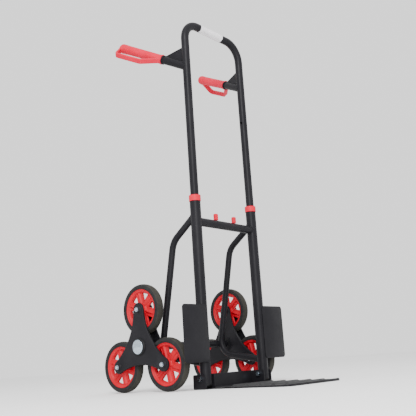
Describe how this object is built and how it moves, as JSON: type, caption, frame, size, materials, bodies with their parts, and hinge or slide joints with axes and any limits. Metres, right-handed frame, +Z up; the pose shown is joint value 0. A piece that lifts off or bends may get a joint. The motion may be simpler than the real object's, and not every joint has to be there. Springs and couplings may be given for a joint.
{
  "type": "stair-climbing hand truck",
  "caption": "Folding stair-climbing hand truck with a telescopic handle, side grips, a hinged toe plate and a three-wheel star each side.",
  "frame": {"origin": "on the floor, midway between the two uprights, on the underside of the toe plate", "axes": "+Z up, -Y towards the toe plate and the load, +Y towards the wheels and side handles, +X to the right"},
  "size_m": [0.4788, 0.6164, 1.1311],
  "materials": {
    "black_coat": "satin black powder coat on steel tube and sheet",
    "black_plastic": "moulded black plastic",
    "red_plastic": "moulded red plastic",
    "red_grip": "soft moulded red grip",
    "white_sleeve": "plain white film sleeve",
    "zinc": "bright zinc plated steel",
    "bright_steel": "turned steel",
    "rim_red": "moulded red wheel centre",
    "tyre_rubber": "solid dark rubber tyre"
  },
  "bodies": {
    "frame": {"upright_left": "black_coat", "upright_right": "black_coat", "slide_bush_left": "red_plastic", "slide_bush_right": "red_plastic", "cross_tube": "black_coat", "rear_leg_left": "black_coat", "rear_leg_right": "black_coat", "axle_tube": "black_coat", "axle_rod": "bright_steel", "axle_washers": "zinc", "axle_caps": "zinc", "wheel_guard_left": "black_coat", "wheel_guard_right": "black_coat", "foot_plug_left": "black_plastic", "foot_plug_right": "black_plastic", "toe_pivot_bolts": "zinc", "toe_pivot_nuts": "zinc", "lock_spring": "bright_steel"},
    "handle": {"handle_tube": "black_coat", "top_bar_sleeve": "white_sleeve", "guide_plugs": "black_plastic", "side_arm_left": "black_coat", "side_arm_right": "black_coat", "arm_gusset_left": "black_coat", "arm_gusset_right": "black_coat", "grip_left": "red_grip", "grip_right": "red_grip"},
    "toe": {"toe_plate": "black_coat", "toe_inner_ears": "black_coat"},
    "knob_left": {"release_knob_left": "red_plastic", "lock_pin_left": "bright_steel"},
    "knob_right": {"release_knob_right": "red_plastic", "lock_pin_right": "bright_steel"},
    "star_left": {"star_plate_outer_left": "black_coat", "star_plate_inner_left": "black_coat", "star_hub_left": "black_coat", "hub_bushes_left": "black_plastic", "wheel_sleeves_left": "zinc", "wheel_bolts_left": "zinc", "wheel_nuts_left": "zinc"},
    "wheel_left_top": {"rim_left_top": "rim_red", "tyre_left_top": "tyre_rubber"},
    "wheel_left_front": {"rim_left_front": "rim_red", "tyre_left_front": "tyre_rubber"},
    "wheel_left_rear": {"rim_left_rear": "rim_red", "tyre_left_rear": "tyre_rubber"},
    "star_right": {"star_plate_outer_right": "black_coat", "star_plate_inner_right": "black_coat", "star_hub_right": "black_coat", "hub_bushes_right": "black_plastic", "wheel_sleeves_right": "zinc", "wheel_bolts_right": "zinc", "wheel_nuts_right": "zinc"},
    "wheel_right_top": {"rim_right_top": "rim_red", "tyre_right_top": "tyre_rubber"},
    "wheel_right_front": {"rim_right_front": "rim_red", "tyre_right_front": "tyre_rubber"},
    "wheel_right_rear": {"rim_right_rear": "rim_red", "tyre_right_rear": "tyre_rubber"}
  },
  "joints": [
    {"name": "handle_slide", "type": "slide", "parent": "frame", "child": "handle", "axis": [0, 0, 1], "range_m": [-0.363, 0]},
    {"name": "toe_hinge", "type": "hinge", "parent": "frame", "child": "toe", "pos_m": [0, 0.004, 0.028], "axis": [-1, 0, 0], "range_deg": [0, 90]},
    {"name": "knob_left_slide", "type": "slide", "parent": "frame", "child": "knob_left", "axis": [1, 0, 0], "range_m": [0, 0.009], "stiffness_N_per_m": 500, "springref_m": -0.008},
    {"name": "knob_right_slide", "type": "slide", "parent": "frame", "child": "knob_right", "axis": [-1, 0, 0], "range_m": [0, 0.009], "stiffness_N_per_m": 500, "springref_m": -0.008},
    {"name": "star_left_spin", "type": "hinge", "parent": "frame", "child": "star_left", "pos_m": [0, 0.1723, 0.128], "axis": [1, 0, 0], "continuous": true},
    {"name": "wheel_left_top_spin", "type": "hinge", "parent": "star_left", "child": "wheel_left_top", "pos_m": [0, 0.1723, 0.235], "axis": [1, 0, 0], "continuous": true},
    {"name": "wheel_left_front_spin", "type": "hinge", "parent": "star_left", "child": "wheel_left_front", "pos_m": [0, 0.07963, 0.0745], "axis": [1, 0, 0], "continuous": true},
    {"name": "wheel_left_rear_spin", "type": "hinge", "parent": "star_left", "child": "wheel_left_rear", "pos_m": [0, 0.26497, 0.0745], "axis": [1, 0, 0], "continuous": true},
    {"name": "star_right_spin", "type": "hinge", "parent": "frame", "child": "star_right", "pos_m": [0, 0.1723, 0.128], "axis": [1, 0, 0], "continuous": true},
    {"name": "wheel_right_top_spin", "type": "hinge", "parent": "star_right", "child": "wheel_right_top", "pos_m": [0, 0.1723, 0.235], "axis": [1, 0, 0], "continuous": true},
    {"name": "wheel_right_front_spin", "type": "hinge", "parent": "star_right", "child": "wheel_right_front", "pos_m": [0, 0.07963, 0.0745], "axis": [1, 0, 0], "continuous": true},
    {"name": "wheel_right_rear_spin", "type": "hinge", "parent": "star_right", "child": "wheel_right_rear", "pos_m": [0, 0.26497, 0.0745], "axis": [1, 0, 0], "continuous": true}
  ]
}
